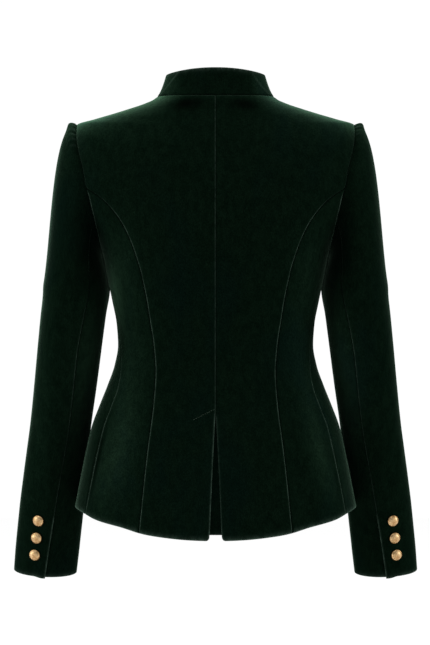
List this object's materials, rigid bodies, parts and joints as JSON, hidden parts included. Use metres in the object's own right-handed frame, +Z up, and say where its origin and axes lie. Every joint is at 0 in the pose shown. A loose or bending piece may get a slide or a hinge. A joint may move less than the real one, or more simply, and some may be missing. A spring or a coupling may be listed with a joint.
{
  "type": "trachten jacket",
  "caption": "Women's fitted velvet trachten jacket: stand collar, princess seams, tailored sleeves with buttoned cuffs, flared skirt with a back vent, shown hollow as worn.",
  "frame": {"origin": "middle of the neck opening, level with the neck ends of the shoulder seams, where the wearer's shoulders and neck hold the jacket", "axes": "+Z up, the jacket faces -Y, +X is the wearer's left"},
  "size_m": [0.5816, 0.2766, 0.7175],
  "materials": {
    "green_velvet": "dark bottle-green cotton velvet with a short dense pile",
    "antique_gold": "domed metal button in antique gold, darker in its hollows"
  },
  "bodies": {
    "root": {"back_left": "green_velvet", "back_right": "green_velvet", "side_back_left": "green_velvet", "side_back_right": "green_velvet", "side_front_left": "green_velvet", "side_front_right": "green_velvet", "front_left": "green_velvet", "front_right": "green_velvet", "collar": "green_velvet", "vent_underlap": "green_velvet", "upper_sleeve_left": "green_velvet", "upper_sleeve_right": "green_velvet", "under_sleeve_left": "green_velvet", "under_sleeve_right": "green_velvet", "cuff_button_left_1": "antique_gold", "cuff_button_left_2": "antique_gold", "cuff_button_left_3": "antique_gold", "cuff_button_right_1": "antique_gold", "cuff_button_right_2": "antique_gold", "cuff_button_right_3": "antique_gold", "front_button_1": "antique_gold", "front_button_2": "antique_gold", "front_button_3": "antique_gold", "front_button_4": "antique_gold", "front_button_5": "antique_gold", "front_button_6": "antique_gold"}
  },
  "joints": []
}
